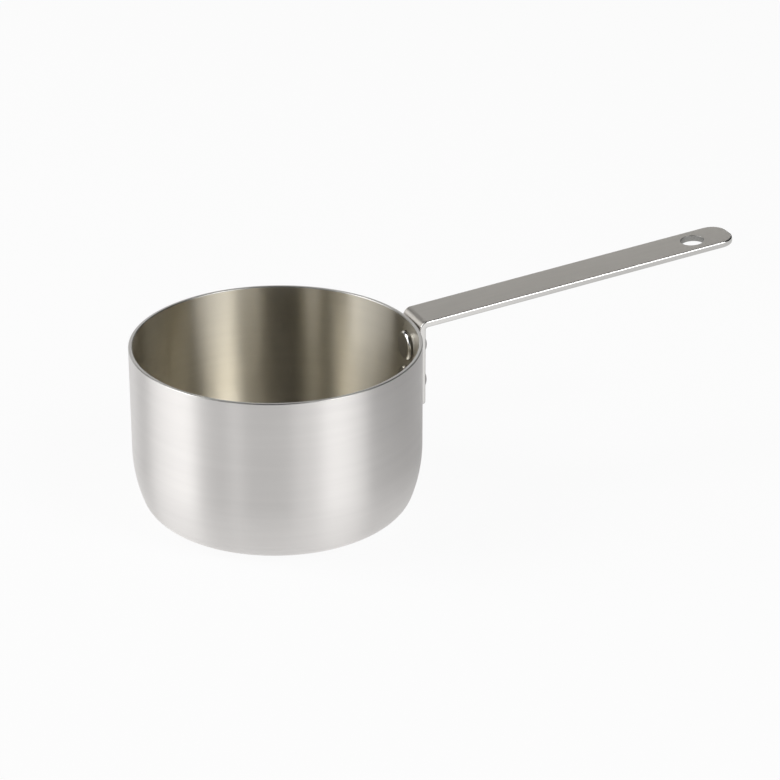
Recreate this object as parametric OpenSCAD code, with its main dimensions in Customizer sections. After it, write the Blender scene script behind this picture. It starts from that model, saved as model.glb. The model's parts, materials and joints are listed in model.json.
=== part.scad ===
// Small stainless saucepan: a drawn single-wall body with a flat bar handle,
// bent down at its root and held on the outside of the wall by two rivets.
// Millimetres, +Z up, origin at the centre of the base's underside.
// The handle runs along +X.

/* [Body] */
// Outside diameter of the straight part of the body
body_d = 90; // [80:1:110]
// Height from the underside of the base to the rim
body_h = 54.3; // [48:0.1:70]
// Thickness of the drawn wall and base
wall_t = 1.2; // [0.8:0.1:1.6]
// Outside radius of the long curve that draws the wall in
belly_r = 45.6; // [36:0.1:60]
// Angle that the long curve turns through, in degrees
belly_angle = 19.7; // [10:0.1:28]
// Outside radius of the corner between the belly and the base
corner_r = 8; // [5:0.1:12]
// Rounding on the two edges of the rim
rim_edge_r = 0.3; // [0.1:0.05:0.35]

/* [Handle] */
// Width of the bar
bar_w = 13.8; // [11:0.1:18]
// Thickness of the bar
bar_t = 2; // [1.5:0.1:3]
// Width of the bevel that breaks the edges of the bar
bar_bevel = 0.45; // [0.1:0.05:0.6]
// Inside radius of the bend
bend_r = 0.8; // [0.5:0.1:4]
// Rise of the grip above the level, in degrees
grip_rise = 5.7; // [0:0.1:20]
// Length of the grip from the bend to its tip
grip_l = 109.2; // [80:0.1:140]
// Radius of the two corners at the grip's tip
tip_corner_r = 5.5; // [3:0.1:6.5]
// Height of the bend's crown above the rim
crown_h = 1.4; // [0.5:0.1:6]
// Depth of the tab's end below the rim
tab_depth = 27; // [26:0.5:32]
// Radius of the two corners at the tab's end
tab_corner_r = 1.5; // [0.5:0.1:4]

/* [Hanging hole] */
// Diameter of the hole
hang_hole_d = 7.4; // [5:0.1:9]
// Distance from the grip's tip to the centre of the hole
hang_hole_inset = 13; // [9:0.1:20]
// Depth of the broken edge at each end of the hole
hang_hole_chamfer = 0.2; // [0.1:0.05:0.4]

/* [Rivets] */
// Diameter of the rivets' shanks
shank_d = 4.8; // [3:0.1:5.5]
// Depth of the upper rivet below the rim
rivet_depth = 8.5; // [7:0.1:9]
// Distance between the two rivets
rivet_pitch = 12; // [10:0.1:13]
// Diameter of the low heads inside the body
inner_head_d = 9.4; // [7:0.1:10]
// Height of the low heads above the wall
inner_head_h = 1.5; // [1.1:0.05:2]
// Height of the straight band under the low heads' crown
inner_head_band = 0.4; // [0.4:0.05:0.8]
// Diameter of the round heads outside the tab
outer_head_d = 8.8; // [7:0.1:10]
// Height of the round heads above the tab
outer_head_h = 2.8; // [1.5:0.1:3.5]

/* [Fits] */
// Gap around a shank in its holes
shank_gap = 0.05; // [0.02:0.01:0.1]
// Gap between the wall and the flat back of the tab
tab_gap = 0.2; // [0.05:0.05:0.3]
// Gap between the wall and the hollowed face of a low head
head_gap = 0.05; // [0.02:0.01:0.1]

/* [Hidden] */
$fn = 96;
// How far a cut runs past the face that it opens
overrun = body_h / 50;

// Body: radii of the wall, and the centres of its two lower curves
body_r = body_d / 2;
inner_r = body_r - wall_t;
belly_x = body_r - belly_r;
belly_z = corner_r + (belly_r - corner_r) * sin(belly_angle);
corner_x = belly_x + (belly_r - corner_r) * cos(belly_angle);

// Handle: faces of the tab, and the axis of the bend
tab_x = body_r + tab_gap;
tab_face_x = tab_x + bar_t;
bend_x = tab_face_x + bend_r;
bend_z = body_h + crown_h - bar_t - bend_r;
tab_l = bend_z - body_h + tab_depth;
// How far the bend stands proud of the flats that it joins, and laps over them
bend_bulge = bar_t / 200;
bend_lap = 5 * bend_bulge;

// Rivets: heights of their axes
upper_rivet_z = body_h - rivet_depth;
lower_rivet_z = upper_rivet_z - rivet_pitch;

// Outline of the body's outside, drawn in by inset, from the axis to the wall.
// Each curve keeps its centre, so the inside follows the outside at any inset,
// and each stretch laps into the next, inside the curve that it is tangent to.
module body_outline(inset, top_z) {
    corner_top_z = corner_r - (corner_r - inset) * sin(belly_angle);
    translate([0, belly_z])
        square([body_r - inset, top_z - belly_z]);
    intersection() {
        translate([belly_x, belly_z])
            circle(belly_r - inset);
        translate([0, corner_top_z])
            square([body_r, belly_z + corner_r - corner_top_z]);
    }
    translate([corner_x, corner_r])
        circle(corner_r - inset);
    translate([0, inset])
        square([corner_x, corner_r - inset]);
}

// Rounded land at the top of the wall
module rim_section() {
    edge_z = body_h - rim_edge_r;
    land_x = inner_r + rim_edge_r;
    translate([body_r - rim_edge_r, edge_z])
        circle(rim_edge_r);
    translate([land_x, edge_z])
        circle(rim_edge_r);
    translate([land_x, edge_z])
        square([wall_t - 2 * rim_edge_r, rim_edge_r]);
}

module body_section() {
    difference() {
        body_outline(0, body_h - rim_edge_r);
        body_outline(wall_t, body_h);
    }
    rim_section();
}

// Round bar along +X at a rivet's height
module along_x(z) {
    translate([0, 0, z])
        rotate([0, 90, 0])
            children();
}

// Holes for both shanks, from one distance off the body's axis to another
module rivet_holes(from_x, to_x) {
    for (z = [upper_rivet_z, lower_rivet_z])
        along_x(z)
            translate([0, 0, from_x])
                cylinder(h = to_x - from_x, d = shank_d + 2 * shank_gap);
}

module pan_body() {
    color([0.80, 0.80, 0.79])
        difference() {
            rotate_extrude()
                body_section();
            rivet_holes(inner_r - overrun, body_r + overrun);
        }
}

// Flat bar's cross-section, grown all round by bulge: thickness along +x from
// zero, width across y, each corner bevelled
module bar_section(bulge = 0) {
    back_x = -bulge;
    face_x = bar_t + bulge;
    side_y = bar_w / 2 + bulge;
    flat_y = side_y - bar_bevel;
    polygon([
        [back_x + bar_bevel, -side_y], [face_x - bar_bevel, -side_y],
        [face_x, -flat_y], [face_x, flat_y],
        [face_x - bar_bevel, side_y], [back_x + bar_bevel, side_y],
        [back_x, flat_y], [back_x, -flat_y]
    ]);
}

// Plan of the tab below the bend's axis, with the two corners at its end rounded
module tab_plan() {
    corner_y = bar_w / 2 - tab_corner_r;
    corner_z = tab_corner_r - tab_l;
    for (y = [-corner_y, corner_y])
        translate([y, corner_z])
            circle(tab_corner_r);
    translate([-corner_y, -tab_l])
        square([2 * corner_y, tab_l]);
    translate([-bar_w / 2, corner_z])
        square([bar_w, bend_lap - corner_z]);
}

module tab() {
    translate([tab_x, 0, bend_z])
        intersection() {
            translate([0, 0, -tab_l])
                linear_extrude(tab_l + bend_lap)
                    bar_section();
            rotate([90, 0, 90])
                linear_extrude(bar_t)
                    tab_plan();
        }
}

// Frame of the grip: origin on the bend's axis, +x along the grip, +z out of
// its upper face
module grip_frame() {
    translate([bend_x, 0, bend_z])
        rotate([0, -grip_rise, 0])
            children();
}

// Quarter turn, less the grip's rise, from the grip down into the tab
module bend() {
    grip_frame()
        rotate([90, 0, 0])
            rotate([0, 0, 90])
                rotate_extrude(angle = 90 - grip_rise)
                    translate([bend_r, 0])
                        bar_section(bend_bulge);
}

// Half section of the bar's edge at the tip: out from zero along x, thickness
// up y, both corners bevelled
module tip_edge_section() {
    polygon([
        [0, 0], [tip_corner_r - bar_bevel, 0],
        [tip_corner_r, bar_bevel], [tip_corner_r, bar_t - bar_bevel],
        [tip_corner_r - bar_bevel, bar_t], [0, bar_t]
    ]);
}

// Straight bar whose tip has two round corners, with the bevels run on round it
module grip() {
    corner_x = grip_l - tip_corner_r;
    corner_y = bar_w / 2 - tip_corner_r;
    grip_frame()
        translate([0, 0, bend_r]) {
            translate([-bend_lap, 0, bar_t])
                rotate([0, 90, 0])
                    linear_extrude(corner_x + bend_lap)
                        bar_section();
            translate([corner_x, corner_y, 0])
                rotate_extrude(angle = 90)
                    tip_edge_section();
            translate([corner_x, -corner_y, 0])
                rotate([0, 0, -90])
                    rotate_extrude(angle = 90)
                        tip_edge_section();
            translate([corner_x, corner_y, 0])
                rotate([90, 0, 0])
                    linear_extrude(2 * corner_y)
                        tip_edge_section();
        }
}

// Hole square to the grip, with both of its edges broken
module hang_hole() {
    hole_r = hang_hole_d / 2;
    flare_h = hang_hole_chamfer + overrun;
    grip_frame()
        translate([grip_l - hang_hole_inset, 0, bend_r]) {
            translate([0, 0, -overrun])
                cylinder(h = bar_t + 2 * overrun, r = hole_r);
            translate([0, 0, bar_t - hang_hole_chamfer])
                cylinder(h = flare_h, r1 = hole_r, r2 = hole_r + flare_h);
            translate([0, 0, -overrun])
                cylinder(h = flare_h, r1 = hole_r + flare_h, r2 = hole_r);
        }
}

module handle() {
    color([0.72, 0.71, 0.69])
        difference() {
            union() {
                tab();
                bend();
                grip();
            }
            rivet_holes(tab_x - overrun, tab_face_x + overrun);
            hang_hole();
        }
}

// Radius of the ball that a crown of width d and height h is cut from
function crown_ball_r(d, h) = (d * d / 4 + h * h) / (2 * h);

// Half section of a rivet head's crown, seated on y = 0
module crown_section(d, h) {
    ball_r = crown_ball_r(d, h);
    intersection() {
        translate([0, h - ball_r])
            circle(ball_r);
        square([d / 2, h]);
    }
}

// Low head: a shallow crown on a band, its face hollowed to the inside of the wall
module inner_head(z) {
    intersection() {
        along_x(z)
            translate([0, 0, inner_r])
                mirror([0, 0, 1])
                    rotate_extrude() {
                        square([inner_head_d / 2, inner_head_band]);
                        translate([0, inner_head_band])
                            crown_section(inner_head_d, inner_head_h - inner_head_band);
                    }
        translate([0, 0, z - inner_head_d])
            cylinder(h = 2 * inner_head_d, r = inner_r - head_gap);
    }
}

// Shank from inside the low head to the tab, and the round head on the tab
module shank_and_outer_head(z) {
    shank_x = inner_r - inner_head_band;
    along_x(z)
        translate([0, 0, shank_x])
            rotate_extrude() {
                square([shank_d / 2, tab_face_x - shank_x]);
                translate([0, tab_face_x - shank_x])
                    crown_section(outer_head_d, outer_head_h);
            }
}

module rivet(z) {
    color([0.86, 0.86, 0.85]) {
        inner_head(z);
        shank_and_outer_head(z);
    }
}

module upper_rivet() {
    rivet(upper_rivet_z);
}

module lower_rivet() {
    rivet(lower_rivet_z);
}

pan_body();
handle();
upper_rivet();
lower_rivet();
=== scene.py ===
# Looks of a small stainless steel serving saucepan, built round its packed construction.
# Metres, +Z up, origin at the centre of the base's underside, handle along +X.

import json
import math

import bmesh
import bpy
from bpy.props import FloatProperty, FloatVectorProperty, IntProperty, PointerProperty
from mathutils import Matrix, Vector


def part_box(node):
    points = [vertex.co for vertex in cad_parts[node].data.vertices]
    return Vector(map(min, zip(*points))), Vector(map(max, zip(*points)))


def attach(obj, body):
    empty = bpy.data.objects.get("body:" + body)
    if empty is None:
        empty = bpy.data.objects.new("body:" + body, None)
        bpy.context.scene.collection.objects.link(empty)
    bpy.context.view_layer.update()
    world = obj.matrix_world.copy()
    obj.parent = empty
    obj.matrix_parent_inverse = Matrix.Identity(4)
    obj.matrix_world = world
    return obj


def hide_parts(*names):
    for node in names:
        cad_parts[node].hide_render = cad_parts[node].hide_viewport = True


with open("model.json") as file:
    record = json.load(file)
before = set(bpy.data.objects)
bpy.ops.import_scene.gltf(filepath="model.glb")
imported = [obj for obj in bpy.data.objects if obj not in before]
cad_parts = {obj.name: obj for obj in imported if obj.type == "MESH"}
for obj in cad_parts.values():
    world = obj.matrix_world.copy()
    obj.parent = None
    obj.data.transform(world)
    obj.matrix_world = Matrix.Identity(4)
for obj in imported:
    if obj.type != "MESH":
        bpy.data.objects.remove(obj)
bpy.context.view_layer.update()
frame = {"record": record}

bl_info = {
    "name": "Serving Saucepan",
    "version": (1, 0, 0),
    "blender": (4, 5, 0),
    "location": "View3D > Sidebar > Saucepan",
    "description": "Builds a riveted steel saucepan: drawn body, bent bar handle, rivets and studio",
    "category": "Add Mesh",
}

# Places that the frame gives
body_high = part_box("pan_body")[1]
handle_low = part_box("handle")[0]
upper_low, upper_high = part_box("upper_rivet")
lower_low, lower_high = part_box("lower_rivet")
upper_z = (upper_low.z + upper_high.z) / 2
lower_z = (lower_low.z + lower_high.z) / 2
hole_mount = next(m for m in frame["record"]["mounts"] if m["name"] == "hanging_hole")

# Points along the stretches of the body's section
CORNER_POINTS = 15
BELLY_POINTS = 15
WALL_POINTS = 25
RIM_EDGE_POINTS = 7
# Points along the stretches of a rivet's section
LOW_CROWN_POINTS = 14
SHOULDER_POINTS = 10
ROUND_CROWN_POINTS = 20
BACK_POINTS = 4
STRAIGHT_POINTS = 3
# Steps round the bar's corners, its holes and its rounded edges, and quads along the grip
TIP_STEPS = 24
TAB_STEPS = 8
HOLE_STEPS = 64
EDGE_STEPS = 5
GRIP_PARTS = 8
# Quads each way on a card
CARD_PARTS = 16

# Radius of the circle that a section is swept round
SWEEP_RADIUS = 0.1
# Points nearer to each other than this are one point
WELD_DISTANCE = 0.000002
# Turn between two faces past which their edge stays sharp
SHARP_TURN = math.radians(40.0)
# Length of the drills for the rivet holes, in thicknesses of the wall
DRILL_WALLS = 8.0
# Height of the base's own finish, as a share of the wall
BASE_SHARE = 0.1
# How near to the bar's flat sides a face counts as flat, as a share of the edge's radius
FLAT_SHARE = 0.001
# How little a face looks along the rivet where it belongs to a low head's band
BAND_TILT = 0.2

# Share of the fine lines in the gloss, the rest being clouds, and how far the gloss swings
LINE_SHARE = 0.6
GLOSS_SWING = 0.1
# Scale of the fine lines and of the broad ones along their length, in waves a metre
LINE_RUN = 60.0
BROAD_RUN = 25.0
# A quarter turn of a stretched highlight lays it across the lines
ACROSS_LINES = 0.25
# Colour sockets of a mix node
MIX_FIRST, MIX_SECOND, MIX_RESULT = 6, 7, 2

# Full white, as a brightness
WHITE = 1.0
# Width of the camera's sensor, in millimetres
SENSOR_WIDTH = 36.0
# How far the floor lies under the base
FLOOR_DROP = 0.0001
# Softboxes and cards round the pan: their turns and heights in degrees, and what lights them
CARDS = (
    ("left_softbox", (141, 186), (11, 42), "left_level"),
    ("left_softbox_middle", (139, 174), (42, 50), "left_top_level"),
    ("left_softbox_top", (139, 163), (50, 58), "left_top_level"),
    ("left_dark_card_middle", (174, 186), (42, 50), "black_level"),
    ("left_dark_card_top", (163, 186), (50, 58), "black_level"),
    ("right_softbox", (-75, -43), (11, 42), "right_level"),
    ("right_softbox_top", (-73, -43), (42, 58), "right_top_level"),
    ("right_dark_card_top", (-80, -73), (42, 58), "black_level"),
    ("back_grey_card", (54, 92), (12, 34), "grey_level"),
    ("back_dark_card", (54, 92), (34, 58), "dark_level"),
    ("right_dark_card", (-39, 30), (0, 58), "black_level"),
    ("far_dark_card", (30, 54), (10, 58), "black_level"),
    ("left_dark_card", (121, 139), (0, 58), "black_level"),
    ("left_dark_card_high", (92, 121), (25, 58), "black_level"),
    ("front_dark_card_left", (-174, -147), (4, 34), "dark_level"),
    ("front_dark_card_middle", (-136, -99), (5, 34), "dark_level"),
    ("front_dark_card_high", (-174, -80), (34, 58), "dark_level"),
    ("ceiling_dark_card", (-174, 141), (58, 89), "black_level"),
)


def length(label, note, value):
    """A length in metres that the user can change."""
    return FloatProperty(
        name=label, description=note, default=value, min=0.0, precision=5, unit="LENGTH")


def angle(label, note, degrees):
    """An angle that the user can change."""
    return FloatProperty(
        name=label, description=note, default=math.radians(degrees), unit="ROTATION")


def level(label, note, value):
    """A brightness, 1 being white."""
    return FloatProperty(
        name=label, description=note, default=value, min=0.0, soft_max=10.0, subtype="FACTOR")


def colour(label, note, value):
    """A colour that the user can change."""
    return FloatVectorProperty(
        name=label, description=note, default=value, min=0.0, max=1.0, size=3, subtype="COLOR")


def count(label, note, value):
    """A whole number that the user can change."""
    return IntProperty(name=label, description=note, default=value, min=3)


def opaque(tone):
    """A colour with no transparency, as the sockets take it."""
    return (*tone, 1.0)


def cleared(owner):
    """The node tree of a new material or world, emptied."""
    owner.use_nodes = True
    owner.node_tree.nodes.clear()
    return owner.node_tree


class PanBodySizes(bpy.types.PropertyGroup):
    """Sizes and colours of the drawn body."""

    outside_radius: length("Outside radius", "Radius of the straight part of the wall", body_high.x)
    height: length("Height", "Height of the rim above the base's underside", body_high.z)
    wall: length("Wall", "Thickness of the drawn sheet", 0.0012)
    belly_radius: length("Belly radius", "Outside radius of the curve that draws the wall in", 0.0456)
    belly_turn: angle("Belly turn", "Angle that the long curve turns through", 19.7)
    corner_radius: length("Corner radius", "Outside radius between the belly and the base", 0.008)
    rim_edge: length("Rim edge", "Rounding on both edges of the ground rim", 0.0003)
    around: count("Facets round", "Facets round the body", 320)
    satin_colour: colour("Satin steel", "Colour of the outside", (0.745, 0.725, 0.709))
    # The inside's warm tint is partly the polished steel's own and partly painted reflection of a warm
    # room
    inside_steel_and_warm_reflection: colour("Inside steel and warm reflection", "Colour of the inside, its warm tint partly painted reflection", (0.76, 0.723, 0.637))
    rim_colour: colour("Rim steel", "Colour of the ground rim", (0.58, 0.568, 0.545))


class HandleSizes(bpy.types.PropertyGroup):
    """Sizes and colours of the bent bar."""

    width: length("Width", "Width of the flat bar", 0.0138)
    thickness: length("Thickness", "Thickness of the flat bar", 0.002)
    edge_radius: length("Edge radius", "Rounding that breaks the edges of the bar", 0.00045)
    bend_radius: length("Bend radius", "Inside radius of the bend at the root", 0.0008)
    tab_corner: length("Tab corner", "Radius of the two corners at the tab's end", 0.0015)
    tip_corner: length("Tip corner", "Radius of the two corners at the tip", 0.0055)
    hole_radius: length("Hole radius", "Radius of the hanging hole", hole_mount["dims"]["r_mm"] / 1000)
    hole_inset: length("Hole inset", "Distance from the tip to the centre of the hole", 0.013)
    hole_edge: length("Hole edge", "Rounding on both edges of the hole", 0.0002)
    bend_steps: count("Bend steps", "Facets round the bend", 20)
    face_colour: colour("Face steel", "Colour of the flat faces", (0.70, 0.67, 0.62))
    edge_colour: colour("Edge steel", "Colour of the polished edges", (0.76, 0.75, 0.73))
    hole_colour: colour("Hole steel", "Colour of the punched hanging hole", (0.40, 0.395, 0.38))


class RivetSizes(bpy.types.PropertyGroup):
    """Sizes and colours of the two rivets."""

    shank_radius: length("Shank radius", "Radius of the shank", 0.0024)
    inner_band: length("Low head's band", "Height of the band under the low head's crown", 0.00045)
    inner_shoulder: length("Low head's shoulder", "Radius between the band and the crown", 0.001)
    inner_gap: length("Low head's gap", "Gap between the wall and the low head", 0.00005)
    outer_radius: length("Round head's radius", "Radius of the round head outside the tab", 0.0044)
    hole_gap: length("Hole's gap", "Gap round the shank in its holes", 0.00005)
    hole_edge: length("Hole's edge", "Rounding on the edges of the rivet holes in the bar", 0.00002)
    around: count("Facets round", "Facets round a rivet", 96)
    crown_colour: colour("Crown steel", "Colour of the low heads' crowns", (0.88, 0.87, 0.85))
    # The bands' dark colour is painted shade: the shadow gap and dark reflection round each low head's
    # foot
    band_shade_colour: colour("Band's painted shade", "Colour of the low heads' bands, darkened as painted shade", (0.22, 0.21, 0.19))
    # The round heads' colour is steel darkened all over as painted reflection of a dark room
    round_steel_and_shade: colour("Round head steel and shade", "Colour of the round heads, darkened as painted dark reflection", (0.46, 0.455, 0.445))


class StageSizes(bpy.types.PropertyGroup):
    """Camera, floor and light."""

    distance: length("Camera distance", "From the camera to the middle of the rim", 0.893585)
    camera_turn: angle("Camera's side", "Angle between the view and a line square to the handle", 20.53)
    camera_height: angle("Camera's height", "Angle of the camera above the rim", 23.873)
    aim_turn: angle("Aim, sideways", "Turn of the view away from the rim's middle", 2.45)
    aim_down: angle("Aim, downwards", "Angle of the view below the level", 24.833)
    lens: FloatProperty(
        name="Lens", description="Focal length on a 36 mm sensor", default=134.82, unit="CAMERA")
    floor_width: length("Floor", "Width of the pale floor", 8.0)
    floor_colour: colour("Floor colour", "Colour of the pale floor", (0.8, 0.8, 0.8))
    floor_glow: level("Floor's own white", "Share of plain white in the floor, seen straight", 0.92)
    floor_mirror: level("Floor's white, reflected", "Share of plain white in its reflections", 0.8)
    shade_turn: angle("Shaded side", "Turn of the floor's shaded side, from the handle", 30.0)
    shade_start: length("Shade's start", "Where the floor's reflections begin to darken", 0.02)
    shade_end: length("Shade's end", "Where the floor's reflections are darkest", 0.08)
    shade_level: level("Shaded floor", "Brightness of the shaded side, reflected", 0.65)
    room_level: level("Room", "Light of the white room on matt surfaces", 0.35)
    card_distance: length("Cards", "Distance of the softboxes and grey cards from the pan", 1.6)
    left_level: level("Left softbox", "Brightness of the softbox on the left", 3.15)
    left_top_level: level("Left softbox, top", "Brightness of the left softbox's top", 6.5)
    right_level: level("Right softbox", "Brightness of the softbox on the right", 2.35)
    right_top_level: level("Right softbox, top", "Brightness of the right softbox's top", 6.5)
    grey_level: level("Grey card", "Brightness of the card that the handle's top reflects", 0.8)
    dark_level: level("Dark cards", "Brightness of the dark cards", 0.03)
    black_level: level("Black cards", "Brightness of the black cards", 0.0)


class Graph:
    """Adds nodes to a tree, and links or sets their inputs."""

    def __init__(self, tree):
        self.tree = tree

    def feed(self, socket, value):
        """Links a socket to another, or sets it to a plain value."""
        if isinstance(value, bpy.types.NodeSocket):
            self.tree.links.new(value, socket)
        else:
            socket.default_value = value

    def node(self, kind, inputs=(), **settings):
        """Adds a node with its settings, and feeds its inputs by name or number."""
        made = self.tree.nodes.new(kind)
        for name, value in settings.items():
            setattr(made, name, value)
        for name, value in dict(inputs).items():
            self.feed(made.inputs[name], value)
        return made

    def math(self, operation, *values):
        """One step of arithmetic."""
        made = self.node("ShaderNodeMath", operation=operation)
        for socket, value in zip(made.inputs, values):
            self.feed(socket, value)
        return made.outputs[0]

    def plus(self, one, other):
        """The sum of two numbers."""
        return self.math("ADD", one, other)

    def less(self, one, other):
        """One number less another."""
        return self.math("SUBTRACT", one, other)

    def times(self, one, other):
        """The product of two numbers."""
        return self.math("MULTIPLY", one, other)

    def vector(self, x, y, z):
        """A vector from three numbers."""
        return self.node("ShaderNodeCombineXYZ", {"X": x, "Y": y, "Z": z}).outputs[0]

    def split(self, vector):
        """The three numbers of a vector."""
        return self.node("ShaderNodeSeparateXYZ", {0: vector}).outputs


class ShapeTree(Graph):
    """A geometry node tree whose sizes are named inputs."""

    def __init__(self, name, *size_names):
        super().__init__(bpy.data.node_groups.new(name, "GeometryNodeTree"))
        face = self.tree.interface
        face.new_socket("Geometry", in_out="OUTPUT", socket_type="NodeSocketGeometry")
        face.new_socket("Geometry", in_out="INPUT", socket_type="NodeSocketGeometry")
        self.size_ids = {}
        for size_name in size_names:
            item = face.new_socket(size_name, in_out="INPUT", socket_type="NodeSocketFloat")
            self.size_ids[size_name] = item.identifier
        self.enter = self.node("NodeGroupInput")

    def size(self, name):
        """The socket of a named size."""
        return self.enter.outputs[name]

    def line(self, start, end, points=2):
        """A straight stretch of a section, between two places given as (across, up)."""
        ends = {"Start": self.vector(*start, 0.0), "End": self.vector(*end, 0.0)}
        curve = self.node("GeometryNodeCurvePrimitiveLine", ends).outputs["Curve"]
        parts = {"Curve": curve, "Count": points}
        return self.node("GeometryNodeResampleCurve", parts).outputs["Curve"]

    def arc(self, centre, radius, start, sweep, points):
        """A round stretch of a section, about a centre given as (across, up)."""
        shape = {"Resolution": points, "Radius": radius, "Start Angle": start, "Sweep Angle": sweep}
        curve = self.node("GeometryNodeCurveArc", shape, mode="RADIUS").outputs["Curve"]
        return self.moved(curve, self.vector(*centre, 0.0))

    def moved(self, geometry, place=(0.0, 0.0, 0.0), turn=(0.0, 0.0, 0.0)):
        """Geometry turned, then moved."""
        inputs = {"Geometry": geometry, "Translation": place, "Rotation": turn}
        return self.node("GeometryNodeTransform", inputs).outputs["Geometry"]

    def joined(self, *parts):
        """Several pieces of geometry as one."""
        made = self.node("GeometryNodeJoinGeometry")
        for part in parts:
            self.feed(made.inputs["Geometry"], part)
        return made.outputs["Geometry"]

    def revolved(self, section, around):
        """A section of (across, up) turned about +Z."""
        ring = {"Resolution": around, "Radius": SWEEP_RADIUS}
        circle = self.node("GeometryNodeCurvePrimitiveCircle", ring)
        section = self.moved(section, (-SWEEP_RADIUS, 0.0, 0.0))
        sweep = {"Curve": circle.outputs["Curve"], "Profile Curve": section}
        skin = self.node("GeometryNodeCurveToMesh", sweep).outputs["Mesh"]
        upright = self.moved(skin, turn=(math.pi, 0.0, 0.0))
        weld = {"Geometry": upright, "Distance": WELD_DISTANCE}
        return self.node("GeometryNodeMergeByDistance", weld).outputs["Geometry"]

    def at_rivets(self, shape):
        """A copy of the shape at the height of each rivet, made real."""
        high = self.size("Upper Rivet")
        step = self.vector(0.0, 0.0, self.less(self.size("Lower Rivet"), high))
        line = {"Count": 2, "Start Location": self.vector(0.0, 0.0, high), "Offset": step}
        points = self.node("GeometryNodeMeshLine", line).outputs["Mesh"]
        inputs = {"Points": points, "Instance": shape}
        copies = self.node("GeometryNodeInstanceOnPoints", inputs).outputs["Instances"]
        return self.node("GeometryNodeRealizeInstances", {"Geometry": copies}).outputs["Geometry"]

    def finished(self, geometry, *coats):
        """Ends the tree: real geometry, smooth but for its sharp edges, with each coat's material."""
        real = self.node("GeometryNodeRealizeInstances", {"Geometry": geometry}).outputs["Geometry"]
        smooth = self.node("GeometryNodeSetShadeSmooth", {"Geometry": real}, domain="FACE")
        turn = self.node("GeometryNodeInputMeshEdgeAngle").outputs["Unsigned Angle"]
        sharp = self.math("GREATER_THAN", turn, SHARP_TURN)
        edges = {"Geometry": smooth.outputs["Geometry"], "Selection": sharp, "Shade Smooth": False}
        shape = self.node("GeometryNodeSetShadeSmooth", edges, domain="EDGE").outputs["Geometry"]
        for material, where in coats:
            coat = {"Geometry": shape, "Selection": where, "Material": material}
            shape = self.node("GeometryNodeSetMaterial", coat).outputs["Geometry"]
        self.node("NodeGroupOutput", {"Geometry": shape})


def drop_empty_slots(mesh):
    """Leaves a mesh only the slots that hold a material."""
    filled = [i for i, material in enumerate(mesh.materials) if material]
    places = [filled.index(face.material_index) for face in mesh.polygons]
    materials = [mesh.materials[i] for i in filled]
    mesh.materials.clear()
    for material in materials:
        mesh.materials.append(material)
    mesh.polygons.foreach_set("material_index", places)


def shaped(name, mesh, tree, values):
    """An object whose mesh is what the tree makes from the values, with even normals."""
    draft = bpy.data.objects.new(name + "_draft", mesh)
    bpy.context.scene.collection.objects.link(draft)
    modifier = draft.modifiers.new("Shape", "NODES")
    modifier.node_group = tree.tree
    for size_name, value in values.items():
        modifier[tree.size_ids[size_name]] = value
    normals = draft.modifiers.new("Normals", "WEIGHTED_NORMAL")
    normals.keep_sharp = True
    graph = bpy.context.evaluated_depsgraph_get()
    solid = bpy.data.meshes.new_from_object(draft.evaluated_get(graph), depsgraph=graph)
    solid.name = name
    drop_empty_slots(solid)
    piece = bpy.data.objects.new(name, solid)
    bpy.context.scene.collection.objects.link(piece)
    bpy.data.objects.remove(draft)
    return piece


class Finish(Graph):
    """A steel finish whose pattern follows the piece."""

    def __init__(self, name, steel, roughness, stretch=0.0, turn=0.0):
        self.material = bpy.data.materials.new(name)
        super().__init__(cleared(self.material))
        inputs = {
            "Metallic": 1.0,
            "Base Color": opaque(steel),
            "Roughness": roughness,
            "Anisotropic": stretch,
            "Anisotropic Rotation": turn,
        }
        self.shader = self.node("ShaderNodeBsdfPrincipled", inputs)
        self.node("ShaderNodeOutputMaterial", {"Surface": self.shader.outputs[0]})

    def place(self):
        """Object coordinates, which are the frame's own."""
        return self.node("ShaderNodeTexCoord").outputs["Object"]

    def noise(self, where, scale=1.0, detail=2.0, roughness=0.5):
        """Smooth noise from 0 to 1."""
        inputs = {"Vector": where, "Scale": scale, "Detail": detail, "Roughness": roughness}
        return self.node("ShaderNodeTexNoise", inputs).outputs["Fac"]

    def spread(self, value, low, high):
        """A number from 0 to 1 as one between low and high."""
        inputs = {"Value": value, "To Min": low, "To Max": high}
        return self.node("ShaderNodeMapRange", inputs).outputs["Result"]

    def tint(self, value, dark, light):
        """A colour between two, by a number from 0 to 1."""
        inputs = {"Factor": value, MIX_FIRST: opaque(dark), MIX_SECOND: opaque(light)}
        return self.node("ShaderNodeMix", inputs, data_type="RGBA").outputs[MIX_RESULT]

    def relief(self, value, depth):
        """Bumps of a real depth."""
        bump = self.node("ShaderNodeBump", {"Height": value, "Distance": depth})
        self.feed(self.shader.inputs["Normal"], bump.outputs["Normal"])


def turned_place(finish, across, along):
    """A place on turned work: slow round the axis, quick along the section."""
    x, y, z = finish.split(finish.place())
    radius = finish.math("SQRT", finish.plus(finish.times(x, x), finish.times(y, y)))
    run = finish.times(finish.plus(z, radius), along)
    return finish.vector(finish.times(x, across), finish.times(y, across), run)


def shade(steel, share):
    """A steel colour, darker or lighter by a share."""
    return tuple(min(1.0, part * share) for part in steel)


def brush(finish, steel, fine, broad, cloud, depth, fade):
    """Lays brushing on a finish: broad lines in its colour, fine ones in its relief and its gloss."""
    tint = finish.tint(broad, shade(steel, 1.0 - fade), shade(steel, 1.0 + fade))
    finish.feed(finish.shader.inputs["Base Color"], tint)
    worn = finish.plus(finish.times(fine, LINE_SHARE), finish.times(cloud, 1.0 - LINE_SHARE))
    gloss = finish.shader.inputs["Roughness"]
    least = gloss.default_value * (1.0 - GLOSS_SWING)
    most = gloss.default_value * (1.0 + GLOSS_SWING)
    finish.feed(gloss, finish.spread(worn, least, most))
    finish.relief(fine, depth)


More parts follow.
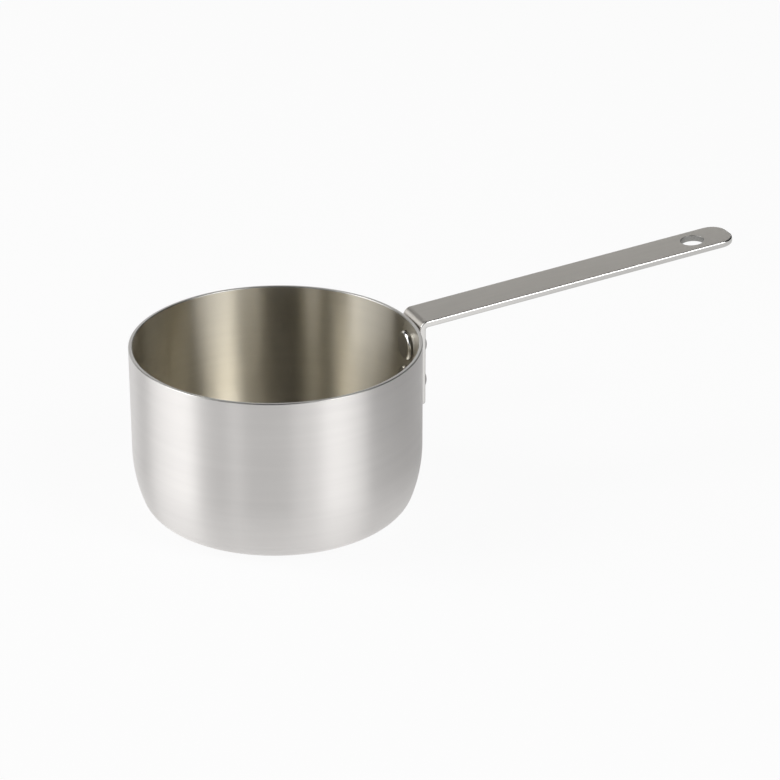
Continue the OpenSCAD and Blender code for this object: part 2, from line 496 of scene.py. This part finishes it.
def turned_steel(name, steel, roughness, stretch, lines=9000.0, broad_lines=400.0, depth=0.0000015):
    """Steel brushed or polished on a lathe, with lines round the axis and highlights across them."""
    finish = Finish(name, steel, roughness, stretch, ACROSS_LINES)
    tangent = finish.node("ShaderNodeTangent", direction_type="RADIAL", axis="Z").outputs["Tangent"]
    finish.feed(finish.shader.inputs["Tangent"], tangent)
    fine = finish.noise(turned_place(finish, LINE_RUN, lines), detail=3.0, roughness=0.6)
    broad = finish.noise(turned_place(finish, BROAD_RUN, broad_lines))
    cloud = finish.noise(finish.place(), scale=45.0, detail=3.0)
    brush(finish, steel, fine, broad, cloud, depth, fade=0.04)
    return finish.material


def bar_steel(name, steel, roughness, stretch, lines=7000.0, broad_lines=500.0, depth=0.0000015):
    """Steel ground along the bar, on the piece's own map: along it, then across it."""
    finish = Finish(name, steel, roughness, stretch, ACROSS_LINES)
    tangent = finish.node("ShaderNodeTangent", direction_type="UV_MAP").outputs["Tangent"]
    finish.feed(finish.shader.inputs["Tangent"], tangent)
    along, across, _ = finish.split(finish.node("ShaderNodeTexCoord").outputs["UV"])
    slow = finish.times(along, LINE_RUN)
    fine_place = finish.vector(slow, finish.times(across, lines), 0.0)
    broad_place = finish.vector(slow, finish.times(across, broad_lines), 0.0)
    fine = finish.noise(fine_place, detail=3.0, roughness=0.6)
    broad = finish.noise(broad_place)
    cloud = finish.noise(finish.place(), scale=90.0, detail=3.0)
    brush(finish, steel, fine, broad, cloud, depth, fade=0.05)
    return finish.material


def rivet_steel(name, steel, roughness):
    """Headed steel with faint marks of the setting tool."""
    finish = Finish(name, steel, roughness)
    # The edge tint follows the colour, so the painted shade of the darkened heads and bands reaches
    # their edges too
    finish.shader.inputs["Specular Tint"].default_value = opaque(steel)
    dimples = finish.noise(finish.place(), scale=700.0)
    cloud = finish.noise(finish.place(), scale=300.0, detail=3.0)
    darkest, lightest = shade(steel, 0.93), shade(steel, 1.04)
    glossiest, dullest = roughness * 0.8, roughness * 1.2
    finish.feed(finish.shader.inputs["Base Color"], finish.tint(cloud, darkest, lightest))
    finish.feed(finish.shader.inputs["Roughness"], finish.spread(cloud, glossiest, dullest))
    finish.relief(dimples, depth=0.00003)
    return finish.material


def drawn_body_tree(finishes, around, hole_around):
    """Revolves the drawn wall's section, and drills the holes for the rivets."""
    names = (
        "Outside Radius", "Height", "Wall", "Belly Radius", "Belly Turn", "Corner Radius", "Rim Edge")
    tree = ShapeTree("Drawn body", *names, "Upper Rivet", "Lower Rivet", "Rivet Hole")
    radius, height, wall, belly, turn, corner, edge = [tree.size(name) for name in names]
    slope_across = tree.math("COSINE", turn)
    slope_up = tree.math("SINE", turn)
    reach = tree.less(belly, corner)
    belly_x = tree.less(radius, belly)
    belly_z = tree.plus(corner, tree.times(reach, slope_up))
    corner_x = tree.plus(belly_x, tree.times(reach, slope_across))
    wall_top = tree.less(height, edge)
    down = tree.times(turn, -1.0)
    corner_turn = tree.less(math.pi / 2, turn)

    def skin(inset):
        """One side of the sheet, from the axis out and up to the rim."""
        at_wall = tree.less(radius, inset)
        corner_r = tree.less(corner, inset)
        belly_r = tree.less(belly, inset)
        return tree.joined(
            tree.line((0.0, inset), (corner_x, inset)),
            tree.arc((corner_x, corner), corner_r, -math.pi / 2, corner_turn, CORNER_POINTS),
            tree.arc((belly_x, belly_z), belly_r, down, turn, BELLY_POINTS),
            tree.line((at_wall, belly_z), (at_wall, wall_top), WALL_POINTS),
        )

    outer_edge = tree.less(radius, edge)
    inner_edge = tree.plus(tree.less(radius, wall), edge)
    rim = tree.joined(
        tree.arc((outer_edge, wall_top), edge, 0.0, math.pi / 2, RIM_EDGE_POINTS),
        tree.line((outer_edge, height), (inner_edge, height)),
        tree.arc((inner_edge, wall_top), edge, math.pi / 2, math.pi / 2, RIM_EDGE_POINTS),
    )
    inside = tree.node("GeometryNodeReverseCurve", {"Curve": skin(wall)}).outputs["Curve"]
    shell = tree.revolved(tree.joined(skin(0.0), rim, inside), around)
    depth = tree.times(wall, DRILL_WALLS)
    bore = {"Vertices": hole_around, "Radius": tree.size("Rivet Hole"), "Depth": depth}
    upright = tree.node("GeometryNodeMeshCylinder", bore).outputs["Mesh"]
    drill = tree.moved(upright, tree.vector(radius, 0.0, 0.0), (0.0, math.pi / 2, 0.0))
    cut = {"Mesh 1": shell, "Mesh 2": tree.at_rivets(drill)}
    cutter = tree.node("GeometryNodeMeshBoolean", cut, operation="DIFFERENCE", solver="EXACT")

    x, y, z = tree.split(tree.node("GeometryNodeInputPosition").outputs[0])
    facing = tree.node("GeometryNodeInputNormal").outputs[0]
    # A face is on the inside where it looks back at the axis, or up from the base
    outward = tree.vector(x, y, tree.times(wall, -1.0))
    product = tree.node("ShaderNodeVectorMath", {0: facing, 1: outward}, operation="DOT_PRODUCT")
    satin, polished, ground, spun = finishes
    is_inside = tree.math("LESS_THAN", product.outputs["Value"], 0.0)
    is_rim = tree.math("GREATER_THAN", z, wall_top)
    is_base = tree.math("LESS_THAN", z, tree.times(wall, BASE_SHARE))
    coats = ((satin, True), (polished, is_inside), (ground, is_rim), (spun, is_base))
    tree.finished(cutter.outputs["Mesh"], *coats)
    return tree


def bent_bar_tree(finishes):
    """Bends the flat blank at its root: x along it from the tab's end, z through its thickness."""
    names = ("Bend Start", "Bend Radius", "Thickness", "Bend Angle", "Axis X", "Axis Z", "Edge")
    tree = ShapeTree("Bent bar", *names, "Hole Run", "Hole Reach")
    start, inside, thick, turn, axis_x, axis_z, edge = [tree.size(name) for name in names]
    run, y, rise = tree.split(tree.node("GeometryNodeInputPosition").outputs[0])
    half = tree.times(thick, 0.5)
    middle = tree.plus(inside, half)
    past = tree.less(run, start)
    bent = tree.math("MINIMUM", tree.math("MAXIMUM", tree.math("DIVIDE", past, middle), 0.0), turn)
    left = tree.less(past, tree.times(bent, middle))
    out = tree.plus(inside, rise)
    across = tree.math("COSINE", bent)
    along = tree.math("SINE", bent)
    x = tree.plus(tree.less(axis_x, tree.times(out, across)), tree.times(left, along))
    z = tree.plus(tree.plus(axis_z, tree.times(out, along)), tree.times(left, across))
    # The coat is told on the flat blank, as 0 on a face, 1 on an edge and 2 in the hanging hole
    from_middle = tree.math("ABSOLUTE", tree.less(rise, half))
    from_face = tree.math("ABSOLUTE", tree.less(from_middle, half))
    on_face = tree.math("LESS_THAN", from_face, tree.times(edge, FLAT_SHARE))
    from_hole = tree.less(run, tree.size("Hole Run"))
    hole_distance = tree.math("SQRT", tree.plus(tree.times(from_hole, from_hole), tree.times(y, y)))
    in_hole = tree.math("LESS_THAN", hole_distance, tree.size("Hole Reach"))
    coat = tree.times(tree.less(1.0, on_face), tree.plus(1.0, in_hole))
    kept = {"Geometry": tree.enter.outputs["Geometry"], "Name": "coat", "Value": coat}
    named = tree.node("GeometryNodeStoreNamedAttribute", kept, data_type="FLOAT", domain="FACE")
    bend = {"Geometry": named.outputs["Geometry"], "Position": tree.vector(x, y, z)}
    bar = tree.node("GeometryNodeSetPosition", bend).outputs["Geometry"]
    read = tree.node("GeometryNodeInputNamedAttribute", {"Name": "coat"}, data_type="FLOAT")
    face, polished, punched = finishes
    is_edge = tree.math("GREATER_THAN", read.outputs["Attribute"], 0.5)
    is_hole = tree.math("GREATER_THAN", read.outputs["Attribute"], 1.5)
    tree.finished(bar, (face, True), (polished, is_edge), (punched, is_hole))
    return tree


def rivet_tree(finishes, around):
    """Revolves a set rivet, hollows its low head to the wall, and repeats it at both heights."""
    low_names = ("Wall Radius", "Low Radius", "Low Height", "Band", "Shoulder", "Gap")
    round_names = ("Shank Radius", "Face X", "Round Radius", "Round Height")
    tree = ShapeTree("Set rivets", *low_names, *round_names, "Upper Rivet", "Lower Rivet")
    wall, low_r, low_h, band, shoulder, gap = [tree.size(name) for name in low_names]
    shank, face, round_r, round_h = [tree.size(name) for name in round_names]
    crown_h = tree.less(low_h, band)
    seat = tree.less(wall, band)
    apex = tree.less(wall, low_h)
    back = tree.less(wall, gap)
    flat_r = tree.less(low_r, shoulder)
    flat_h = tree.less(crown_h, shoulder)
    # The low head's crown runs smoothly into the shoulder, whose centre is flat_r out on the seat
    legs = tree.plus(tree.times(flat_r, flat_r), tree.times(crown_h, crown_h))
    excess = tree.less(legs, tree.times(shoulder, shoulder))
    low_ball = tree.math("DIVIDE", excess, tree.times(flat_h, 2.0))
    low_half = tree.math("ARCSINE", tree.math("DIVIDE", flat_r, tree.less(low_ball, shoulder)))
    shoulder_turn = tree.less(math.pi / 2, low_half)
    shoulder_start = tree.times(shoulder_turn, -1.0)
    round_legs = tree.plus(tree.times(round_r, round_r), tree.times(round_h, round_h))
    round_ball = tree.math("DIVIDE", round_legs, tree.times(round_h, 2.0))
    round_half = tree.math("ARCSINE", tree.math("DIVIDE", round_r, round_ball))
    round_start = tree.less(math.pi / 2, round_half)
    low_centre = tree.plus(apex, low_ball)
    round_centre = tree.less(tree.plus(face, round_h), round_ball)
    section = tree.joined(
        tree.arc((0.0, low_centre), low_ball, -math.pi / 2, low_half, LOW_CROWN_POINTS),
        tree.arc((flat_r, seat), shoulder, shoulder_start, shoulder_turn, SHOULDER_POINTS),
        tree.line((low_r, seat), (low_r, back), STRAIGHT_POINTS),
        tree.line((low_r, back), (shank, back), BACK_POINTS),
        tree.line((shank, back), (shank, face), STRAIGHT_POINTS),
        tree.line((shank, face), (round_r, face), STRAIGHT_POINTS),
        tree.arc((0.0, round_centre), round_ball, round_start, round_half, ROUND_CROWN_POINTS),
    )
    rivet = tree.moved(tree.revolved(section, around), turn=(0.0, math.pi / 2, 0.0))
    x, y, z = tree.split(tree.node("GeometryNodeInputPosition").outputs[0])
    curve = tree.math("SQRT", tree.less(tree.times(back, back), tree.times(y, y)))
    from_back = tree.math("ABSOLUTE", tree.less(x, back))
    at_back = tree.math("LESS_THAN", from_back, WELD_DISTANCE)
    hollow = {"Geometry": rivet, "Selection": at_back, "Position": tree.vector(curve, y, z)}
    seated = tree.node("GeometryNodeSetPosition", hollow).outputs["Geometry"]
    facing = tree.split(tree.node("GeometryNodeInputNormal").outputs[0])[0]
    is_low = tree.math("LESS_THAN", x, wall)
    is_side = tree.math("LESS_THAN", tree.math("ABSOLUTE", facing), BAND_TILT)
    # Faces round the low head's side carry the band's painted shade
    is_band = tree.times(is_low, is_side)
    round_head, crown, band_shade = finishes
    tree.finished(tree.at_rivets(seated), (round_head, True), (crown, is_low), (band_shade, is_band))
    return tree


def arc_points(centre, radius, start, sweep, steps):
    """Points along an arc, both ends included."""
    points = []
    for step in range(steps + 1):
        turn = start + sweep * step / steps
        points.append((centre[0] + radius * math.cos(turn), centre[1] + radius * math.sin(turn)))
    return points


class BarBlank:
    """The flat blank of the handle before it is bent, its edges rounded and its holes made."""

    def __init__(self, sizes, total, stations, holes):
        """Takes each hole as its place along the blank, its radius and its edge's rounding."""
        self.sizes = sizes
        self.total = total
        self.stations = stations
        self.holes = holes
        self.made = bmesh.new()
        self.map = self.made.loops.layers.uv.new("UVMap")

    def outline(self, inset):
        """The blank's outline drawn in by inset, from the first station round the tip and the tab."""
        half = self.sizes.width / 2
        tab, tip = self.sizes.tab_corner, self.sizes.tip_corner
        tip_x = self.total - tip
        quarter = math.pi / 2
        points = [(s, inset - half) for s in self.stations]
        points += arc_points((tip_x, tip - half), tip - inset, -quarter, quarter, TIP_STEPS)
        points += arc_points((tip_x, half - tip), tip - inset, 0.0, quarter, TIP_STEPS)
        points += [(s, half - inset) for s in reversed(self.stations)]
        points += arc_points((tab, half - tab), tab - inset, quarter, quarter, TAB_STEPS)
        points += arc_points((tab, tab - half), tab - inset, 2 * quarter, quarter, TAB_STEPS)
        return points

    def circle(self, centre, radius):
        """A hole's outline, going round the other way."""
        return arc_points((centre, 0.0), radius, 0.0, -2 * math.pi, HOLE_STEPS)[:-1]

    def steps(self, edge):
        """Inset and height of each ring through the thickness, round both edges."""
        levels = []
        for step in range(EDGE_STEPS + 1):
            turn = math.pi / 2 * step / EDGE_STEPS
            levels.append((edge * (1 - math.sin(turn)), edge * (1 - math.cos(turn))))
        top = [(inset, self.sizes.thickness - rise) for inset, rise in reversed(levels)]
        return levels + top

    def wall(self, rings):
        """Quads between neighbouring rings, mapped by run and height; gives the two end rings."""
        loops = []
        for points, height in rings:
            loops.append([self.made.verts.new((s, y, height)) for s, y in points])
        runs = [0.0]
        path = rings[len(rings) // 2][0]
        for here, there in zip(path, path[1:] + path[:1]):
            runs.append(runs[-1] + math.dist(here, there))
        heights = [height for _, height in rings]
        for low, high, low_h, high_h in zip(loops, loops[1:], heights, heights[1:]):
            for i in range(len(path)):
                j = (i + 1) % len(path)
                quad = self.made.faces.new((low[i], low[j], high[j], high[i]))
                near, far = runs[i], runs[i + 1]
                places = ((near, low_h), (far, low_h), (far, high_h), (near, high_h))
                for corner, place in zip(quad.loops, places):
                    corner[self.map].uv = place
        return loops[0], loops[-1]

    def fill(self, ring, hole_rings):
        """A flat face inside one ring and round the holes, in quads where it will be bent."""
        side = len(self.stations)
        tab_start = len(ring) - 2 * (TAB_STEPS + 1)
        right = ring[:side]
        left = ring[tab_start - side:tab_start][::-1]
        faces = []
        for i in range(side - 1):
            faces.append(self.made.faces.new((right[i], right[i + 1], left[i + 1], left[i])))
        tab = [left[0], *ring[tab_start:], right[0]]
        tip = [right[-1], *ring[side:tab_start - side], left[-1]]
        for patch in (tab, tip):
            reach = [v.co.x for v in patch]
            inner = [r for r in hole_rings if min(reach) < r[0].co.x < max(reach)]
            edges = []
            for loop in [patch, *inner]:
                for here, there in zip(loop, loop[1:] + loop[:1]):
                    known = self.made.edges.get((here, there))
                    edges.append(known or self.made.edges.new((here, there)))
            filled = bmesh.ops.triangle_fill(self.made, edges=edges, use_beauty=True)
            faces += [f for f in filled["geom"] if isinstance(f, bmesh.types.BMFace)]
        for face in faces:
            for corner in face.loops:
                corner[self.map].uv = corner.vert.co.xy

    def mesh(self, name):
        """The finished blank as a mesh."""
        bottoms, tops = [], []
        steps = self.steps(self.sizes.edge_radius)
        low, high = self.wall([(self.outline(inset), height) for inset, height in steps])
        for centre, radius, edge in self.holes:
            steps = self.steps(edge)
            rings = [(self.circle(centre, radius + inset), height) for inset, height in steps]
            hole_low, hole_high = self.wall(rings)
            bottoms.append(hole_low)
            tops.append(hole_high)
        self.fill(low, bottoms)
        self.fill(high, tops)
        bmesh.ops.recalc_face_normals(self.made, faces=self.made.faces)
        mesh = bpy.data.meshes.new(name)
        self.made.to_mesh(mesh)
        self.made.free()
        return mesh


class SAUCEPAN_OT_pan_body(bpy.types.Operator):
    """Make the drawn body: straight wall, drawn-in belly, flat base and ground rim"""

    bl_idname = "saucepan.pan_body"
    bl_label = "Pan Body"
    bl_options = {"REGISTER", "UNDO"}

    def execute(self, context):
        sizes = context.scene.saucepan_body
        rivets = context.scene.saucepan_rivets
        finishes = (
            turned_steel("Satin outside", sizes.satin_colour, roughness=0.38, stretch=0.95),
            # Warm tint partly painted reflection of a warm room
            turned_steel("Polished inside", sizes.inside_steel_and_warm_reflection, roughness=0.31, stretch=1.0,
                         depth=0.0000005),
            turned_steel("Ground rim", sizes.rim_colour, roughness=0.3, stretch=0.3),
            turned_steel("Spun base", sizes.satin_colour, roughness=0.36, stretch=0.6,
                         lines=4000.0, depth=0.000004),
        )
        tree = drawn_body_tree(finishes, sizes.around, rivets.around)
        values = {
            "Outside Radius": sizes.outside_radius,
            "Height": sizes.height,
            "Wall": sizes.wall,
            "Belly Radius": sizes.belly_radius,
            "Belly Turn": sizes.belly_turn,
            "Corner Radius": sizes.corner_radius,
            "Rim Edge": sizes.rim_edge,
            "Upper Rivet": upper_z,
            "Lower Rivet": lower_z,
            "Rivet Hole": rivets.shank_radius + rivets.hole_gap,
        }
        piece = shaped("steel_body", bpy.data.meshes.new("steel_body"), tree, values)
        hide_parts("pan_body")
        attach(piece, "root")
        return {"FINISHED"}


class SAUCEPAN_OT_handle(bpy.types.Operator):
    """Make the handle: a flat bar with a round-cornered tip and a hole, bent down into a tab"""

    bl_idname = "saucepan.handle"
    bl_label = "Handle"
    bl_options = {"REGISTER", "UNDO"}

    def execute(self, context):
        sizes = context.scene.saucepan_handle
        rivets = context.scene.saucepan_rivets
        middle = sizes.bend_radius + sizes.thickness / 2
        axis_x = handle_low.x + sizes.thickness + sizes.bend_radius
        tilt = Vector(hole_mount["axis"])
        rise = math.atan2(-tilt.x, tilt.z)
        hole = Vector(hole_mount["pos_m"])
        # The bend's axis and the run past the bend put the grip's middle through the hole's centre
        hole_run = (hole.x - axis_x + middle * math.sin(rise)) / math.cos(rise)
        axis_z = hole.z - hole_run * math.sin(rise) - middle * math.cos(rise)
        tab = axis_z - handle_low.z
        bend = math.pi / 2 - rise
        bend_end = tab + middle * bend
        total = bend_end + hole_run + sizes.hole_inset
        hole_width = 2 * sizes.hole_radius
        grip_part = (hole_run - hole_width) / GRIP_PARTS
        stations = [tab + middle * bend * i / sizes.bend_steps for i in range(sizes.bend_steps + 1)]
        stations += [bend_end + grip_part * (i + 1) for i in range(GRIP_PARTS)]
        rivet_hole = rivets.shank_radius + rivets.hole_gap
        holes = [(bend_end + hole_run, sizes.hole_radius, sizes.hole_edge)]
        for rivet_z in (upper_z, lower_z):
            holes.append((rivet_z - handle_low.z, rivet_hole, rivets.hole_edge))
        blank = BarBlank(sizes, total, stations, holes)
        finishes = (
            bar_steel("Satin bar face", sizes.face_colour, roughness=0.34, stretch=0.5),
            bar_steel("Polished bar edge", sizes.edge_colour, roughness=0.22, stretch=0.3),
            bar_steel("Punched hole", sizes.hole_colour, roughness=0.5, stretch=0.0),
        )
        values = {
            "Bend Start": tab,
            "Bend Radius": sizes.bend_radius,
            "Thickness": sizes.thickness,
            "Bend Angle": bend,
            "Axis X": axis_x,
            "Axis Z": axis_z,
            "Edge": sizes.edge_radius,
            "Hole Run": bend_end + hole_run,
            "Hole Reach": sizes.hole_radius + sizes.hole_edge,
        }
        piece = shaped("bar_handle", blank.mesh("bar_blank"), bent_bar_tree(finishes), values)
        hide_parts("handle")
        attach(piece, "root")
        return {"FINISHED"}


class SAUCEPAN_OT_rivets(bpy.types.Operator):
    """Make the two rivets: low heads inside the wall, round heads on the tab"""

    bl_idname = "saucepan.rivets"
    bl_label = "Rivets"
    bl_options = {"REGISTER", "UNDO"}

    def execute(self, context):
        sizes = context.scene.saucepan_rivets
        body = context.scene.saucepan_body
        handle = context.scene.saucepan_handle
        inner_wall = body.outside_radius - body.wall
        face_x = handle_low.x + handle.thickness
        values = {
            "Wall Radius": inner_wall,
            "Low Radius": upper_high.y,
            "Low Height": inner_wall - upper_low.x,
            "Band": sizes.inner_band,
            "Shoulder": sizes.inner_shoulder,
            "Gap": sizes.inner_gap,
            "Shank Radius": sizes.shank_radius,
            "Face X": face_x,
            "Round Radius": sizes.outer_radius,
            "Round Height": upper_high.x - face_x,
            "Upper Rivet": upper_z,
            "Lower Rivet": lower_z,
        }
        finishes = (
            # Steel colour darkened all over as painted dark reflection
            rivet_steel("Round rivet head", sizes.round_steel_and_shade, roughness=0.14),
            rivet_steel("Low rivet crown", sizes.crown_colour, roughness=0.2),
            # Painted shade at the foot of the low heads, not a finish of the steel
            rivet_steel("Dull rivet band", sizes.band_shade_colour, roughness=0.4),
        )
        tree = rivet_tree(finishes, sizes.around)
        piece = shaped("set_rivets", bpy.data.meshes.new("set_rivets"), tree, values)
        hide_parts("upper_rivet", "lower_rivet")
        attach(piece, "root")
        return {"FINISHED"}


class SAUCEPAN_OT_studio(bpy.types.Operator):
    """Make the studio: the camera, a pale floor and the light"""

    bl_idname = "saucepan.studio"
    bl_label = "Studio"
    bl_options = {"REGISTER", "UNDO"}

    def execute(self, context):
        sizes = context.scene.saucepan_stage
        scene = context.scene
        scene.view_settings.view_transform = "Standard"
        self.camera(scene, sizes)
        self.floor(scene, sizes)
        self.world(scene, sizes)
        for name, turns, heights, light in CARDS:
            self.card(name, turns, heights, getattr(sizes, light), sizes.card_distance)
        return {"FINISHED"}

    def camera(self, scene, sizes):
        """The camera, at the height and side that the picture was taken from."""
        data = bpy.data.cameras.new("Camera")
        data.lens = sizes.lens
        data.sensor_width = SENSOR_WIDTH
        eye = bpy.data.objects.new("Camera", data)
        scene.collection.objects.link(eye)
        flat = sizes.distance * math.cos(sizes.camera_height)
        rise = sizes.distance * math.sin(sizes.camera_height)
        side = sizes.camera_turn
        eye.location = (-flat * math.sin(side), -flat * math.cos(side), body_high.z + rise)
        eye.rotation_euler = (math.pi / 2 - sizes.aim_down, 0.0, -side - sizes.aim_turn)
        scene.camera = eye

    def floor(self, scene, sizes):
        """A plain pale floor that keeps the pan's shadow."""
        mesh = bpy.data.meshes.new("floor")
        half = sizes.floor_width / 2
        corners = ((-half, -half, 0.0), (half, -half, 0.0), (half, half, 0.0), (-half, half, 0.0))
        mesh.from_pydata(corners, (), ((0, 1, 2, 3),))
        floor = bpy.data.objects.new("floor", mesh)
        scene.collection.objects.link(floor)
        floor.location.z = -FLOOR_DROP
        material = bpy.data.materials.new("Pale floor")
        graph = Graph(cleared(material))
        matt = graph.node("ShaderNodeBsdfDiffuse", {"Color": opaque(sizes.floor_colour)})
        path = graph.node("ShaderNodeLightPath").outputs
        straight = graph.math("MAXIMUM", path["Is Camera Ray"], path["Is Transmission Ray"])
        x, y, _ = graph.split(graph.node("ShaderNodeTexCoord").outputs["Object"])
        from_x = graph.times(x, math.cos(sizes.shade_turn))
        from_y = graph.times(y, math.sin(sizes.shade_turn))
        shading = {
            "Value": graph.plus(from_x, from_y),
            "From Min": sizes.shade_start,
            "From Max": sizes.shade_end,
            "To Min": WHITE,
            "To Max": sizes.shade_level,
        }
        shaded = graph.node("ShaderNodeMapRange", shading).outputs["Result"]
        glow = graph.node("ShaderNodeEmission", {"Strength": graph.math("MAXIMUM", straight, shaded)})
        mirrored = graph.times(path["Is Glossy Ray"], sizes.floor_mirror)
        share = graph.math("MAXIMUM", graph.times(straight, sizes.floor_glow), mirrored)
        mixed = graph.node("ShaderNodeMixShader", {0: share, 1: matt.outputs[0], 2: glow.outputs[0]})
        graph.node("ShaderNodeOutputMaterial", {"Surface": mixed.outputs[0]})
        material.cycles.emission_sampling = "NONE"
        mesh.materials.append(material)

    def seen(self, graph):
        """1 where the camera, a reflection or glass looks, and 0 where light is only gathered."""
        path = graph.node("ShaderNodeLightPath").outputs
        seen = graph.math("MAXIMUM", path["Is Camera Ray"], path["Is Glossy Ray"])
        return graph.math("MAXIMUM", seen, path["Is Transmission Ray"])

    def world(self, scene, sizes):
        """A white room, dimmer where it only lights matt surfaces."""
        world = bpy.data.worlds.new("Studio")
        graph = Graph(cleared(world))
        strength = graph.math("MAXIMUM", self.seen(graph), sizes.room_level)
        back = graph.node("ShaderNodeBackground", {"Color": (WHITE,) * 4, "Strength": strength})
        graph.node("ShaderNodeOutputWorld", {"Surface": back.outputs[0]})
        scene.world = world

    def card(self, name, turns, heights, brightness, distance):
        """A curved card round the pan, between two turns and two heights in degrees."""
        made = bmesh.new()
        rings = []
        for i in range(CARD_PARTS + 1):
            turn = math.radians(turns[0] + (turns[1] - turns[0]) * i / CARD_PARTS)
            ring = []
            for j in range(CARD_PARTS + 1):
                rise = math.radians(heights[0] + (heights[1] - heights[0]) * j / CARD_PARTS)
                across = distance * math.cos(rise)
                up = distance * math.sin(rise)
                ring.append(made.verts.new((across * math.cos(turn), across * math.sin(turn), up)))
            rings.append(ring)
        for here, there in zip(rings, rings[1:]):
            for j in range(CARD_PARTS):
                made.faces.new((here[j], here[j + 1], there[j + 1], there[j]))
        mesh = bpy.data.meshes.new(name)
        made.to_mesh(mesh)
        made.free()
        material = bpy.data.materials.new(name)
        graph = Graph(cleared(material))
        glow = graph.node("ShaderNodeEmission", {"Strength": brightness})
        graph.node("ShaderNodeOutputMaterial", {"Surface": glow.outputs[0]})
        mesh.materials.append(material)
        card = bpy.data.objects.new(name, mesh)
        bpy.context.scene.collection.objects.link(card)
        card.visible_camera = False
        card.visible_shadow = False
        card.visible_diffuse = brightness > WHITE


class SAUCEPAN_PT_builder(bpy.types.Panel):
    """Lists the pieces and the studio"""

    bl_idname = "SAUCEPAN_PT_builder"
    bl_label = "Saucepan"
    bl_space_type = "VIEW_3D"
    bl_region_type = "UI"
    bl_category = "Saucepan"

    def draw(self, context):
        for maker in operators:
            self.layout.operator(maker.bl_idname)
        for name in groups:
            box = self.layout.box()
            values = getattr(context.scene, name)
            for key in values.__annotations__:
                box.prop(values, key)


groups = {
    "saucepan_body": PanBodySizes,
    "saucepan_handle": HandleSizes,
    "saucepan_rivets": RivetSizes,
    "saucepan_stage": StageSizes,
}
operators = (SAUCEPAN_OT_studio, SAUCEPAN_OT_pan_body, SAUCEPAN_OT_handle, SAUCEPAN_OT_rivets)


def register():
    """Adds the sizes, the operators and the panel."""
    for name, group in groups.items():
        bpy.utils.register_class(group)
        setattr(bpy.types.Scene, name, PointerProperty(type=group))
    for maker in (*operators, SAUCEPAN_PT_builder):
        bpy.utils.register_class(maker)


def unregister():
    """Takes away what register added."""
    for maker in reversed((*operators, SAUCEPAN_PT_builder)):
        bpy.utils.unregister_class(maker)
    for name, group in reversed(groups.items()):
        delattr(bpy.types.Scene, name)
        bpy.utils.unregister_class(group)


def main():
    """Builds the saucepan and its studio."""
    register()
    bpy.ops.saucepan.studio()
    bpy.ops.saucepan.pan_body()
    bpy.ops.saucepan.handle()
    bpy.ops.saucepan.rivets()


if __name__ == "__main__":
    main()
